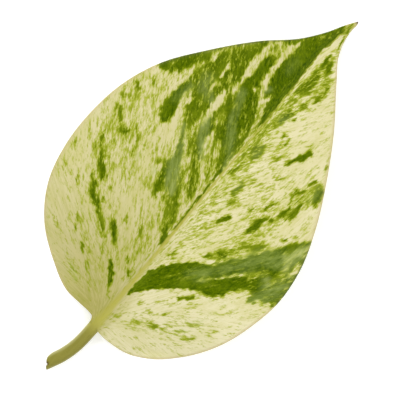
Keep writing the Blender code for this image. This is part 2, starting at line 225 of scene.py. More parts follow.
# Each stroke is (tone, softness, [(x, y, radius), ...]), laid over the ones before it.  Tone 1 is
# solid green and 0 clean cream; between them the green is speckle that covers that share.
MARBLING = [
    # the speckle that the cream carries all over, closest beside the midrib
    (0.24, 7.0, [(-35, 58, 3), (-32, 50, 6), (-25, 44, 6), (-15, 40, 6)]),
    (0.26, 5.0, [(-31, 59, 2), (-26, 52, 4), (-19, 46, 4)]),
    (0.38, 3.0, [(-37, 54, 1.5), (-35, 48, 3), (-31, 44, 3), (-27, 42, 2)]),
    (0.28, 6.0, [(-35, 40, 3), (-28, 32, 4), (-20, 25, 4), (-11, 17, 4)]),
    (0.32, 6.0, [(-11, 40, 3), (-6, 33, 4), (-4, 25, 4), (-3, 17, 3)]),
    (0.38, 3.0, [(-33, 43, 1.5), (-29, 38, 2.5), (-23, 34.5, 2)]),
    (0.32, 3.0, [(-38, 62, 1), (-37.5, 57, 2)]),
    (0.20, 4.0, [(-22, 17, 2), (-15, 12, 3), (-8, 7, 3)]),
    (0.26, 6.0, [(2, 76, 3), (4, 64, 5), (6, 52, 6), (6, 42, 5), (4, 33, 4), (3, 26, 1)]),
    (0.20, 7.0, [(9, 70, 3), (14, 60, 5), (17, 48, 4)]),
    (0.36, 4.0, [(21, 69, 2), (21, 62, 2.5), (19, 55, 3), (19, 48, 3), (16, 40, 2.5)]),
    (0.31, 3.0, [(1.4, 66, 1.2), (2.5, 58, 2), (4, 50, 3), (5, 42, 3), (7, 36, 2)]),
    (0.11, 5.0, [(14, 24, 3), (20, 16, 5), (15, 9, 4), (8, 6, 3)]),
    (0.36, 3.0, [(1, 105, 0.5), (2.6, 99, 2), (4, 93, 3), (3.6, 87, 2.5), (2, 81, 2)]),
    (0.34, 3.0, [(-31, 66, 1), (-29, 62, 2), (-27, 60, 1)]),

    # the green masses of the left half, towards the tip
    (1.00, 0.7, [(-1.6, 112, 0.3), (-2.9, 107.5, 1.6), (-5.0, 102.5, 2.9), (-5.4, 97, 3.4),
                 (-5.2, 91, 3.7), (-4.9, 87, 3.5), (-3.4, 82.5, 2.3), (-2.2, 78.5, 1.2),
                 (-1.3, 74, 0.5)]),
    (0.92, 1.2, [(-3.4, 109, 0.6), (-6.4, 104.3, 1.2), (-10.2, 99.3, 1.6), (-14.5, 94, 2.2),
                 (-19, 88.5, 2.9), (-24, 82.3, 3.2), (-29, 75.7, 3.6), (-31.9, 70.7, 3.3),
                 (-34.8, 68.2, 1.6)]),
    (1.00, 1.0, [(-11.6, 93, 1.4), (-11.7, 88.5, 1.9), (-11.7, 83, 2.1), (-11.5, 79, 2.2)]),
    (0.86, 1.8, [(-17.5, 88, 3.2), (-17.5, 82, 3.9), (-18.5, 76, 4.4), (-19, 70, 4.3),
                 (-19, 65, 3.6), (-18.3, 61.5, 2.4), (-17.8, 58.6, 1.0)]),
    (0.84, 1.8, [(-22, 82, 3.5), (-23.6, 76, 3), (-22.6, 71, 2.6)]),
    (0.80, 1.4, [(-24.4, 74, 1.2), (-25.2, 70.5, 1.4), (-25.3, 67.5, 1.3)]),
    (0.95, 1.4, [(-9.5, 80, 2.7), (-8.5, 75, 4), (-7.5, 70, 4.6), (-5.8, 65, 4.2), (-3.6, 60, 2.4),
                 (-1.9, 55.5, 0.9)]),
    (0.88, 1.6, [(-13, 74.5, 1.6), (-12, 70, 2.5), (-11.7, 65, 2.8), (-12.3, 61, 2.2),
                 (-10.6, 57, 1.9), (-8.6, 53.5, 1.6), (-6.3, 50, 1.7), (-4.4, 46.7, 1.7),
                 (-3, 44, 0.7)]),
    (1.00, 0.9, [(-25.2, 68, 1.2), (-25.2, 63, 1.8), (-24.7, 60, 2.3), (-23.9, 57.3, 1.8)]),
    (0.90, 1.2, [(-18.6, 59.5, 0.7), (-16.4, 56.5, 1.1), (-14.5, 52, 1.8), (-12.3, 48, 2.2),
                 (-10.2, 44.5, 2.0), (-8.3, 41.3, 1.2), (-6.6, 38.5, 0.5)]),
    (0.92, 1.0, [(-14.9, 48, 0.7), (-13.3, 44.5, 1.1), (-12.1, 41, 1.1), (-10.9, 37.9, 0.5)]),
    (0.78, 1.8, [(-8.4, 47.5, 1.0), (-6.4, 43.6, 1.5), (-4.6, 41.2, 0.8)]),
    (0.66, 2.5, [(-9.5, 50, 1), (-8, 46, 2.5), (-6.3, 42, 3.5), (-4.6, 37.5, 2.2), (-2.6, 33, 1)]),
    (0.72, 1.5, [(-8.6, 43.5, 1.2), (-7.0, 38.8, 1.1), (-5.0, 35.2, 0.7)]),
    (0.88, 1.2, [(-6.3, 42.5, 0.6), (-4, 38.8, 0.9), (-1.6, 34.5, 0.7)]),
    (0.70, 2.0, [(-7, 61, 1.4), (-4.6, 56, 2.0), (-2.6, 50, 1.4)]),
    (0.95, 0.5, [(-1.6, 57, 0.3), (-0.9, 47, 0.4), (-0.5, 40, 0.4), (0, 34, 0.3)]),
    (1.00, 0.6, [(-2.7, 33.6, 0.3), (-1.6, 31.7, 0.9), (-0.6, 29.3, 0.6), (-0.1, 27.8, 0.2)]),

    (0.76, 1.3, [(-2.6, 111.4, 0.3), (-4.8, 107, 0.9), (-9, 101.2, 0.9)]),
    (1.00, 0.6, [(-3.0, 100, 0.2), (-2.9, 96, 0.5), (-2.4, 90, 0.6), (-2.0, 82, 0.5)]),
    (0.86, 1.4, [(-1.8, 111.6, 0.3), (-3.4, 107, 1.1), (-5.0, 103, 1.3)]),

    (0.97, 0.8, [(-6.9, 87, 0.8), (-4.8, 83.4, 1.3), (-3.3, 79.6, 1.2), (-1.9, 75.8, 0.8),
                 (-1.2, 72, 0.4)]),
    (0.90, 1.0, [(-7.2, 77, 0.8), (-5.6, 74, 1.2), (-3.9, 70.4, 1.2), (-2.6, 66, 0.8)]),
    (0.55, 2.0, [(0.6, 72, 1.2), (0.9, 67, 1.6), (1.2, 62, 1.0)]),

    # cream streaks through them, as the veins run
    (0.36, 1.5, [(-14.8, 97.2, 0.9), (-12.8, 95, 1.6), (-11.9, 92.4, 1.2)]),
    (0.52, 1.5, [(-27.5, 79.8, 0.8), (-22.4, 85.7, 1.0), (-18, 90.8, 1.0)]),
    (0.06, 0.8, [(-8.7, 99.6, 0.2), (-9.1, 97.3, 0.8), (-9.5, 93.5, 0.9), (-9.5, 90.8, 0.6),
                 (-9.4, 89.4, 0.3)]),
    (0.12, 0.8, [(-9.4, 88.9, 0.2), (-9.1, 86, 0.4), (-8.6, 83.5, 0.4), (-7.5, 80.8, 0.5),
                 (-6.2, 78.9, 0.3)]),
    (0.58, 0.6, [(-5.2, 79, 0.2), (-3.9, 76.2, 0.2), (-2.5, 73.2, 0.4), (-1.6, 70.3, 0.4)]),
    (0.00, 0.5, [(-4.9, 82.4, 0.1), (-4.6, 80.9, 0.5), (-5.5, 79.3, 0.4)]),
    (0.05, 0.6, [(-9.3, 81.4, 0.2), (-9.1, 80.3, 0.4)]),
    (0.90, 0.7, [(-7.2, 84.6, 0.3), (-6.1, 82.2, 0.7), (-5.7, 80.6, 0.3)]),
    (0.90, 0.8, [(-6.4, 77.6, 0.5), (-5.0, 75.2, 0.8), (-3.9, 72.4, 0.7)]),
    (0.10, 0.9, [(-15.1, 95.4, 0.2), (-14.7, 91.5, 0.8), (-14.5, 86.7, 1.1), (-14.2, 83.5, 1.1),
                 (-14, 80.5, 0.6), (-13.9, 78, 0.3), (-13.8, 76, 0.2)]),
    (0.05, 0.5, [(-19.9, 81.2, 0.2), (-19.7, 79, 0.5), (-19.5, 76.9, 0.3)]),
    (0.10, 0.5, [(-19.4, 74.6, 0.5), (-19.2, 72.7, 0.3), (-19, 71.2, 0.1)]),
    (0.10, 0.6, [(-24.3, 82.2, 0.2), (-24.9, 80.4, 0.6), (-24, 78.4, 0.2)]),
    (0.26, 1.1, [(-25.6, 77.1, 0.2), (-26.8, 74, 0.6), (-28, 70.5, 0.9), (-28.4, 68, 1.1)]),
    (0.30, 0.7, [(-25.3, 76.6, 0.2), (-24.6, 74.6, 0.5)]),
    (0.05, 0.8, [(-24, 66.3, 0.3), (-23, 64.3, 0.8), (-22, 61, 0.8), (-21.2, 58, 0.9),
                 (-20.6, 54.5, 1.2)]),
    (0.05, 0.6, [(-21.6, 66.1, 0.4), (-22.2, 64.4, 0.6)]),
    (0.20, 0.9, [(-20.8, 61.9, 0.3), (-19.9, 59.3, 0.6), (-18.7, 57, 0.8), (-16.8, 53.3, 0.9),
                 (-15.4, 50.3, 0.7)]),
    (0.00, 0.6, [(-15.8, 74.3, 0.3), (-15.2, 71.5, 1.0), (-15.2, 68.5, 1.0), (-14.9, 65.5, 0.6),
                 (-14.7, 64, 0.2)]),
    (0.12, 0.6, [(-30.2, 69.4, 0.4), (-29.7, 68.2, 0.5)]),
    (0.20, 0.5, [(-32.7, 70.9, 0.3), (-32.3, 70.2, 0.4)]),
    (0.42, 1.6, [(-12, 68.6, 0.9), (-11.2, 66.6, 1.1)]),
    (0.35, 1.0, [(-3.8, 69.4, 0.3), (-3.4, 67.2, 0.4)]),
    (0.20, 0.7, [(-10.5, 63.3, 0.3), (-10, 60.7, 0.6), (-9.6, 58.6, 0.4)]),
    (0.22, 0.8, [(-8.1, 57.4, 0.4), (-6.5, 54.5, 0.8), (-4.8, 52, 0.7), (-3, 49.6, 0.5),
                 (-1.6, 47.5, 0.2)]),
    (0.35, 1.0, [(-7, 62, 0.5), (-5, 58, 0.7), (-3.2, 54.5, 0.6), (-1.9, 51, 0.3)]),
    (0.10, 0.6, [(-16.8, 61.2, 0.4), (-16.2, 59.1, 0.5)]),
    (0.34, 0.8, [(-15.2, 58, 0.4), (-13.7, 55.5, 0.6), (-12, 52.5, 0.6), (-10.8, 50.3, 0.4)]),
    (0.15, 0.8, [(-7.4, 48.5, 0.2), (-7.2, 46.6, 0.5)]),
    (0.20, 0.8, [(-5.3, 44.4, 0.5), (-3.6, 42, 0.6), (-2.3, 39.5, 0.5)]),

    (0.72, 1.4, [(-18.4, 63, 0.9), (-15.6, 59.6, 1.2), (-13.2, 56.4, 1.0), (-11.4, 53.4, 0.6)]),
    (0.60, 1.2, [(-13.4, 99, 0.6), (-10.5, 101.3, 0.6)]),
    (0.94, 0.6, [(-35.2, 68, 0.2), (-27.3, 80, 0.35), (-17.8, 92, 0.35), (-9, 101, 0.35),
                 (-4.9, 107, 0.3)]),

    # green marks on the left half's cream
    (0.78, 1.0, [(-36.3, 59.3, 0.7), (-35.4, 58.6, 0.9)]),
    (0.60, 1.2, [(-34, 63, 1.1), (-32.6, 62, 0.8)]),
    (0.55, 1.2, [(-37.2, 53.8, 0.8), (-35, 55.6, 0.6)]),
    (0.80, 0.9, [(-36.8, 50.8, 0.5), (-34.4, 49.3, 0.9), (-33, 47.7, 0.5)]),
    (0.90, 0.7, [(-31.3, 48.1, 0.3), (-30.2, 46.2, 1.1), (-29.1, 46.8, 0.6)]),
    (0.62, 0.8, [(-28, 49, 0.7), (-27.2, 47.2, 0.4)]),
    (0.70, 0.7, [(-26.4, 48.8, 0.4), (-25.4, 46.2, 0.5)]),
    (0.70, 0.7, [(-24.6, 44.7, 0.4), (-23.7, 42.1, 0.5)]),
    (0.75, 0.8, [(-22.8, 47, 0.4), (-22.2, 46, 0.3)]),
    (0.66, 0.8, [(-17.4, 45.6, 0.5), (-16.2, 47, 0.7)]),
    (0.95, 0.6, [(-34.4, 42.1, 0.3), (-33.3, 39.9, 0.6), (-32.2, 38.3, 0.6)]),
    (0.60, 0.6, [(-34.4, 38.2, 0.3), (-33.4, 36.8, 0.4)]),
    (0.72, 0.8, [(-39.3, 35.2, 0.3), (-38.3, 33, 0.5)]),
    (1.00, 1.1, [(-31, 37.4, 0.4), (-29.2, 35, 0.8), (-27.2, 33.6, 1.3), (-25.8, 31.8, 0.8)]),
    (0.85, 0.6, [(-29.1, 31.7, 0.2), (-27.4, 29.4, 0.5), (-25.3, 29.2, 0.3)]),
    (1.00, 1.1, [(-26.6, 28.4, 0.4), (-24.6, 26.2, 1.1), (-22, 25.2, 0.8), (-20.2, 23.3, 0.5)]),
    (0.75, 0.6, [(-21.8, 31, 0.4), (-21.1, 30.2, 0.3)]),
    (0.80, 0.6, [(-21.8, 27.5, 0.5), (-20.8, 26.6, 0.4)]),
    (0.90, 1.0, [(-19.5, 23.4, 0.3), (-17, 21.3, 0.6), (-14.4, 19.1, 0.5)]),
    (0.60, 0.7, [(-18.6, 24.3, 0.4), (-15.3, 21.6, 0.4)]),
    (1.00, 0.8, [(-15.1, 24.4, 0.4), (-13.4, 22.6, 1.0), (-10.7, 20, 0.4)]),
    (0.60, 0.7, [(-10, 19.6, 0.4), (-7, 16.8, 0.3)]),
    (0.55, 0.8, [(-37.2, 28.3, 0.4), (-36, 26.5, 0.6)]),
    (0.42, 0.8, [(-34.3, 27.4, 0.5), (-33.6, 26.4, 0.5)]),
    (0.75, 0.6, [(-31.9, 27.4, 0.3), (-30.2, 25.5, 0.3)]),
    (0.55, 0.8, [(-8.2, 29, 0.6), (-6.7, 26.6, 0.8)]),
    (0.75, 0.6, [(-13.1, 27.8, 0.4), (-12.3, 26.5, 0.4)]),
    (0.50, 0.8, [(-6.3, 24, 0.7), (-4.6, 21.6, 0.8)]),
    (0.60, 0.5, [(-24.6, 19.3, 0.2), (-23, 17.6, 0.5)]),
    (0.85, 0.5, [(-22.4, 16.4, 0.4), (-21.8, 15.7, 0.4)]),
    (0.50, 0.6, [(-19, 16.1, 0.3), (-17.7, 14.9, 0.4)]),
    (0.80, 0.6, [(-17.8, 13.7, 0.3), (-16.8, 12.6, 0.6), (-15.6, 11.6, 0.4)]),
    (0.75, 0.5, [(-15.6, 13.4, 0.3), (-14.3, 12.4, 0.3)]),
    (0.50, 0.7, [(-13.4, 17.3, 0.4), (-12, 15.6, 0.4)]),
    (0.80, 0.5, [(-5.3, 19.2, 0.3), (-3.7, 17.8, 0.4)]),
    (0.80, 0.5, [(-1.9, 16.4, 0.5), (-0.8, 14.8, 0.3)]),
    (1.00, 0.6, [(-8, 15.1, 0.3), (-6, 12.9, 1.0), (-4, 10.1, 0.7), (-2.8, 8.3, 0.3),
                 (-1.6, 6.6, 0.1)]),
    (0.55, 0.8, [(-12.9, 10.3, 0.5), (-11.2, 8.2, 0.6)]),
    (0.50, 0.6, [(-28.5, 13.6, 0.2), (-26.3, 12.1, 0.4)]),
    (0.48, 1.0, [(-18.6, 7.4, 0.4), (-15.5, 6.2, 0.6), (-12, 4.6, 0.7)]),

    # the right half's great band, which starts as a point on the midrib
    (1.00, 0.35, [(2.1, 10.8, 0.2), (3.3, 15.3, 1.5), (5.4, 19.9, 3.0), (9.4, 24.6, 3.7),
                  (13.3, 28.2, 3.8)]),
    (0.97, 0.8, [(13.3, 28.2, 3.8), (17.2, 31.8, 3.2), (20.6, 36.4, 3.4), (24.4, 42, 3.2),
                 (28.4, 48.4, 3.0), (31.6, 54.6, 2.2), (32.4, 57, 1.2)]),
    (1.00, 0.8, [(13.6, 24.2, 0.6), (16.4, 26.2, 1.3), (20.2, 28.6, 2.2), (22.4, 33, 2.2),
                 (26.2, 37.6, 2.7), (30.4, 42.6, 3.2), (32.6, 48.6, 2.6)]),
    (0.66, 1.5, [(33.4, 56.6, 0.8), (32.2, 53, 2.0), (30.4, 50, 1.8)]),
    (0.92, 1.1, [(28.4, 38.4, 3.0), (31.8, 37.4, 2.8), (34, 38.6, 2.4), (34, 43, 2.0),
                 (33.6, 51, 1.6)]),
    (0.95, 0.7, [(29.7, 33, 0.6), (30.6, 34.2, 1.2), (32, 36, 1.2)]),
    (0.60, 0.6, [(6.1, 21.2, 0.1), (8, 23.3, 0.3), (9.8, 25.9, 0.1)]),
    (0.36, 0.6, [(14.8, 27.3, 0.1), (17.2, 30, 0.2), (20.8, 34.4, 0.3), (23.8, 38, 0.4)]),
    (0.50, 1.3, [(24.2, 37.9, 0.3), (25.8, 39.6, 0.8), (28.4, 42.6, 0.6)]),
    (0.45, 1.6, [(30.6, 41, 0.6), (32.2, 44.6, 0.9), (31.8, 48, 0.5)]),
    (0.05, 0.5, [(33.9, 50.2, 0.7), (34.3, 48, 0.6), (34, 46.2, 0.4)]),
    (0.15, 0.8, [(31.4, 34.4, 0.2), (33.6, 34.4, 0.8)]),
    (1.00, 0.5, [(33.4, 55.2, 0.4), (35.4, 49.8, 0.5), (36.2, 44, 0.6), (36.4, 38, 0.5),
                 (36, 35.8, 0.3)]),
    (0.62, 1.6, [(15.4, 36.4, 0.9), (17.4, 42, 1.2), (20.4, 45.8, 1.1), (23.4, 49, 0.6)]),
    (0.60, 1.2, [(12.6, 34.6, 0.8), (15, 38.4, 1.0)]),

    # green marks on the right half's cream, up from its base
    (0.40, 0.9, [(2.4, 3.5, 0.3), (4.4, 4.3, 0.4), (6, 5.4, 0.2)]),
    (0.36, 0.8, [(3, 1.8, 0.3), (4, 2.4, 0.4)]),
    (0.56, 0.9, [(8.4, 5.9, 0.5), (10.2, 6.9, 0.5)]),
    (0.45, 1.0, [(10.6, 7.2, 0.4), (13.4, 8.3, 0.7), (15, 9.8, 0.5)]),
    (0.58, 0.9, [(11.7, 9, 0.4), (14.3, 9.1, 0.5)]),
    (0.62, 0.8, [(16.4, 9.8, 0.4), (17.2, 10.4, 0.4)]),
    (0.60, 0.8, [(6.5, 10.9, 0.4), (7.2, 12.6, 0.4)]),
    (0.45, 0.7, [(9.4, 10.4, 0.6), (10.4, 11.6, 0.5)]),
    (0.56, 0.8, [(16.5, 11.8, 0.4), (18, 12.8, 0.5)]),
    (0.58, 0.7, [(13.6, 13.5, 0.4), (14.4, 14.2, 0.4)]),
    (0.50, 0.9, [(19.9, 12, 0.5), (22.2, 14.2, 0.7)]),
    (0.55, 0.6, [(22.8, 11.6, 0.3), (25.2, 14.2, 0.3)]),
    (0.48, 1.0, [(22, 16.4, 0.7), (23.6, 18.6, 0.8)]),
    (0.54, 0.9, [(27.4, 17.8, 0.5), (28.5, 19.6, 0.7)]),
    (0.50, 0.5, [(26, 22, 0.3), (26.6, 22.6, 0.3)]),
    (0.90, 0.6, [(13.9, 19.9, 0.5), (15.6, 21.4, 0.5), (17.2, 22.9, 0.5)]),
    (0.45, 0.8, [(25.3, 26, 0.5), (26, 27, 0.4)]),
    (0.90, 0.5, [(3.4, 27.4, 0.3), (4.6, 29.8, 0.5)]),
    (0.65, 0.5, [(5, 27.4, 0.3), (7, 29.6, 0.3)]),
    (0.90, 0.6, [(11, 33.8, 0.4), (12.6, 35.1, 0.6)]),
    (0.95, 0.7, [(13.9, 37.9, 0.5), (16, 38.2, 0.8)]),
    (1.00, 0.7, [(8, 44.3, 0.5), (8.8, 46.2, 0.7), (9.5, 47.4, 0.8)]),
    (0.95, 0.8, [(16.1, 47.9, 0.8), (17, 50.2, 1.0), (17.2, 53.2, 0.8), (19.4, 55.2, 0.4)]),
    (0.78, 0.9, [(21.3, 45, 0.6), (22.1, 47.2, 0.9)]),
    (0.65, 0.7, [(7, 50.7, 0.6), (7.4, 53.4, 0.6)]),
    (0.80, 0.8, [(5.7, 53.6, 0.7), (6.1, 57, 0.9)]),
    (0.65, 0.6, [(7.2, 58.9, 0.5), (8.1, 60.8, 0.5)]),
    (0.75, 0.7, [(0.6, 57.2, 0.5), (1.5, 58.6, 0.8), (2.1, 59.8, 0.5)]),
    (0.60, 0.6, [(3.7, 61, 0.4), (4.2, 62.3, 0.4)]),
    (0.75, 0.9, [(3.5, 65.3, 0.8), (3, 67.5, 1.8), (3.4, 69.7, 0.6)]),
    (0.60, 0.6, [(8.2, 67.4, 0.4), (9.3, 71.2, 0.4)]),
    (0.65, 0.6, [(12.2, 64.5, 0.4), (13.8, 66.5, 0.4)]),
    (0.70, 0.6, [(12.6, 53, 0.5), (12.9, 54, 0.5)]),
    (0.40, 0.9, [(12.5, 61, 0.7), (13, 63, 0.5)]),
    (0.85, 0.6, [(15.8, 56.2, 0.6), (16.5, 58.4, 0.4), (16.8, 61, 0.2)]),
    (0.86, 0.7, [(20.2, 57.2, 0.6), (20.7, 59.3, 0.9), (21, 61.2, 0.4)]),
    (0.86, 0.7, [(22.6, 57.8, 0.5), (23, 60.5, 0.8), (22.8, 64.2, 0.6)]),
    (0.90, 0.5, [(20.1, 62.4, 0.3), (19.2, 64.2, 0.6), (19.8, 66.4, 0.5), (21.6, 68.2, 0.3)]),
    (0.75, 0.6, [(21.3, 64.5, 0.3), (21.6, 67, 0.5)]),
    (0.85, 0.6, [(21.2, 70.2, 0.5), (21.4, 71.8, 0.6)]),
    (0.52, 1.4, [(23, 71.6, 0.8), (23, 68.2, 1.2), (24, 65.4, 0.9)]),
    (0.90, 0.9, [(24, 72.3, 0.5), (24.6, 70, 1.3), (25.6, 67.4, 0.9), (26.4, 65.8, 0.3)]),
    (0.75, 0.5, [(25.6, 52.6, 0.4), (26.4, 53.6, 0.5)]),
    (0.60, 0.5, [(27, 55.4, 0.3), (27.8, 56, 0.3)]),
    (0.45, 0.9, [(18.6, 72.4, 0.3), (19.2, 75.6, 0.7)]),
    (1.00, 0.5, [(14.9, 76.9, 0.9), (14.3, 74.9, 1.1), (12.9, 72.5, 0.6), (11.5, 69.6, 0.2)]),
    (0.50, 0.7, [(13.3, 78, 0.8), (14.2, 78.6, 0.5)]),
    (0.70, 0.4, [(19.6, 80.4, 0.2), (21, 77.9, 0.3), (22.4, 75.6, 0.2)]),
    (0.75, 0.4, [(5.6, 75.2, 0.3), (6.2, 76.5, 0.4), (7.4, 76.4, 0.4)]),
    (0.75, 0.4, [(7.9, 75.8, 0.3), (7.6, 74, 0.4), (6.6, 73.4, 0.3)]),

    # the right half beside the midrib and up to the tip
    (0.55, 1.6, [(0.6, 87, 1.3), (1.0, 82, 1.7), (1.2, 77, 1.7), (0.5, 72.4, 1.0)]),
    (0.90, 0.7, [(3, 82.2, 0.8), (2.5, 80, 1.0), (2.3, 78.4, 0.6)]),
    (0.85, 0.5, [(4.8, 81, 0.4), (5.3, 82, 0.4)]),
    (0.80, 0.5, [(3.6, 83.9, 0.4), (4.7, 86.6, 0.6)]),
    (0.82, 1.1, [(0.7, 96.6, 0.8), (1.3, 93.5, 1.6), (1.3, 90.5, 1.8), (0.4, 88, 0.8)]),
    (0.52, 1.5, [(3, 97.4, 0.8), (4.5, 95.6, 1.4), (5.9, 92.6, 1.3), (6.2, 90, 1.0)]),
    (0.90, 0.6, [(6.2, 95, 0.4), (6.6, 93.7, 0.4)]),
    (0.85, 0.6, [(6.7, 91.7, 0.5), (6.4, 89.8, 0.6)]),
    (0.95, 0.6, [(0.6, 102.5, 0.5), (0.7, 100.2, 0.8), (0.9, 98.2, 0.6)]),
    (0.95, 0.6, [(2.1, 101.2, 0.3), (2.7, 99.5, 0.8), (3.1, 98.2, 0.4)]),
    (0.45, 1.0, [(3.8, 99.2, 0.4), (5, 97.3, 0.5)]),
    (0.80, 0.4, [(-0.1, 109.6, 0.2), (0.3, 107.6, 0.3), (0.8, 105.7, 0.3)]),
    (0.55, 1.0, [(-0.4, 115.3, 0.3), (-0.6, 113.5, 0.8), (-0.8, 111.4, 0.9)]),
    (0.85, 0.6, [(-0.3, 112.2, 0.2), (-0.2, 111, 0.4)]),
]

# Where the clear cells over the green lift off from it, it looks silvery; these strokes are partly
# that and partly a painted sheen, the light's reflection on the wax.  They are the same kind of
# strokes.
SILVER_AND_SHEEN = [
    (0.8, 1.3, [(-11.7, 77.3, 1.0), (-9.9, 73.3, 0.8), (-8.9, 70, 0.8), (-6.7, 66.8, 1.1),
                (-4.4, 63.6, 1.1), (-1.9, 60, 0.5), (-1, 57, 0.2)]),
    (0.8, 1.2, [(-14.4, 66, 0.7), (-13.4, 63, 1.2), (-11.8, 60, 1.2), (-9.6, 57.2, 0.9),
                (-8.2, 55.2, 0.5)]),
    (0.8, 1.4, [(-18.3, 58.8, 0.5), (-16.2, 56, 0.7), (-14.5, 52.5, 1.2), (-12.8, 48.6, 1.7),
                (-10.4, 45, 1.6), (-8.3, 42, 0.9)]),
    (0.5, 1.6, [(-24.6, 68.5, 0.9), (-24.8, 65.5, 1.0), (-24.8, 63, 0.8)]),
    (0.6, 2.0, [(-22, 74, 1.2), (-21, 71, 1.2), (-16.8, 70, 0.8)]),
    (0.5, 2.0, [(-6.2, 94, 0.8), (-5.6, 91.5, 0.8)]),
    (0.7, 1.0, [(-6.2, 83.6, 0.5), (-6.8, 82.2, 0.5)]),
    (0.7, 1.2, [(-22.4, 43.6, 0.6), (-22, 43, 0.6)]),
    (0.8, 1.0, [(-16.2, 43.8, 0.5), (-15.6, 42.6, 0.5)]),
    (0.55, 1.6, [(2.9, 81, 0.6), (2.2, 78.8, 0.6)]),
    (0.35, 1.8, [(3, 68.6, 0.8), (3.4, 66.4, 0.7)]),
    (0.40, 1.4, [(5.8, 57.2, 0.6), (5.8, 54.6, 0.5)]),
    (0.6, 1.4, [(6.6, 49, 0.5), (6, 48, 0.5)]),
    (0.40, 1.8, [(23.9, 71, 0.7), (24.4, 68.2, 0.7), (23.2, 66.6, 0.5)]),
    (1.0, 2.0, [(33.2, 56.4, 0.8), (32.3, 53.4, 1.6), (31.4, 50.5, 1.6), (29.8, 48.2, 1.2)]),
    (0.75, 2.4, [(11.5, 27.4, 0.6), (14.4, 29.6, 1.5), (15.8, 31.4, 1.0)]),
    (0.75, 3.0, [(18, 34.6, 1.0), (20.8, 38.8, 1.6), (24.6, 44.6, 1.7), (28, 48.6, 1.4)]),
    (0.85, 2.6, [(26, 45.4, 1.0), (28.4, 46.8, 1.4), (31, 47.6, 0.8)]),
    (1.0, 2.2, [(29.6, 40.6, 0.8), (32.4, 39, 1.8), (34.4, 42.6, 1.1), (34.6, 46.4, 0.6)]),
    (0.9, 1.4, [(30.2, 33.2, 0.5), (31.2, 35.6, 0.9), (33.4, 36.4, 0.8)]),
    (0.6, 1.6, [(22, 17, 0.6), (23.4, 18.8, 0.6)]),
    (0.5, 1.6, [(20.4, 12.6, 0.5), (22, 14, 0.6)]),
    (0.5, 1.6, [(-16.4, 6.4, 0.4), (-12.6, 4.8, 0.5)]),
]


STEPS_BETWEEN = 4  # straight pieces of a stroke between two of its points
EDGE = 0.9  # half the width of a stroke's edge, over its softness
WANDER_UNLIKE = 1.3  # keeps the strokes' shift along the leaf out of step with the one across it
# Each wave of that shift is (size, radians per millimetre across, the same along, phase).
WANDER = [(0.15, 1.9, 0.8, 0.0), (0.14, -1.1, 2.3, 1.0), (0.07, 3.9, -1.7, 2.0),
          (0.07, 2.6, 3.4, 4.0)]


def painted(strokes, x, y):
    """Lays strokes over a clean ground at the given places.  Within a stroke, whose radius varies
    smoothly along it, the value moves to the stroke's tone, by a smooth step of the distance
    outside it.  The outlines wander: the places are shifted first by sine waves that cross."""
    waves = [(size, a * x + b * y + phase) for size, a, b, phase in WANDER]
    x = x + sum(size * np.sin(angle) for size, angle in waves)
    y = y + sum(size * np.cos(WANDER_UNLIKE * angle) for size, angle in waves)
    value = np.zeros_like(x)
    for tone, softness, points in strokes:
        path = along(points, np.linspace(0.0, 1.0, STEPS_BETWEEN * (len(points) - 1) + 1))
        pad = path[:, 2].max() + softness
        low, high = path[:, :2].min(axis=0) - pad, path[:, :2].max(axis=0) + pad
        near = (x > low[0]) & (x < high[0]) & (y > low[1]) & (y < high[1])
        spot = np.stack([x[near], y[near]], axis=-1)[:, None, :]
        start, run = path[:-1, :2], np.diff(path[:, :2], axis=0)
        share = np.clip(((spot - start) * run).sum(-1) / (run**2).sum(-1), 0.0, 1.0)
        radius = path[:-1, 2] + share * np.diff(path[:, 2])
        away = np.linalg.norm(spot - start - share[..., None] * run, axis=-1)
        outside = (away - radius).min(axis=1)
        cover = smoothstep(EDGE * softness, -EDGE * softness, outside)
        value[near] += cover * (tone - value[near])
    return value


# ------------------------------------------------------------------ the leaf's mesh

# A half section starts on the midrib's top, runs out to the margin, round it and back below.  For
# each of its points, STEP is the share of the way out, LEVEL is 1 on the top and 0 below, and ROUND
# counts the points that turn round the margin.
COLUMN_CROWDING = 1.35  # columns are closer beside the midrib, and sections towards the tip
SECTION_CROWDING = 1.3
TOP_STEPS = (np.arange(TOP_COLUMNS + 1) / TOP_COLUMNS) ** COLUMN_CROWDING
UNDER_STEPS = (np.arange(UNDER_COLUMNS, -1, -1) / UNDER_COLUMNS) ** COLUMN_CROWDING
STEP = np.concatenate([TOP_STEPS, [1.0, 1.0], UNDER_STEPS])
LEVEL = np.concatenate([np.ones(TOP_COLUMNS + 1), [0.72, 0.28], np.zeros(UNDER_COLUMNS + 1)])
ROUND = np.concatenate([np.zeros(TOP_COLUMNS + 1), [1.0, 2.0], np.full(UNDER_COLUMNS + 1, 3.0)])
ROUND_WIDTH = 0.1  # millimetres of margin between two of those rounding points
MARGIN_BULGE = 0.07
FAR_INSIDE = 9.0  # stands for a distance from the margin that the rim doesn't reach
CUT_SHARES = np.array([0.94, 0.82, 0.62, 0.4, 0.2])  # the cut face's rings, over the outer one
CORE_DEPTH = 0.2  # how far the cut's middle is sunk, and how uneven it is
CORE_UNEVEN = 0.07
CUT_BACK = {-1: 0.5, 1: 0.25}  # how far each side of the cut is cut back
NICK_DEPTH = 0.55
NICK_PLACE = 0.2  # the nick's place and half width, over the cut's half width
NICK_HALF_WIDTH = 0.13
PETIOLE_TURN = np.pi * np.concatenate([np.linspace(0.0, 0.48, TOP_COLUMNS + 1), [0.493, 0.507],
                                       np.linspace(0.52, 1.0, UNDER_COLUMNS + 1)])

# The laid-out map has the top on the left and the underside, turned over, on the right.
MAP_SIZE = 161.5
TOP_ORIGIN = np.array([42.0, 21.8])
UNDER_ORIGIN = np.array([118.8, 21.8])
CUT_ORIGIN = np.array([67.0, 8.0])


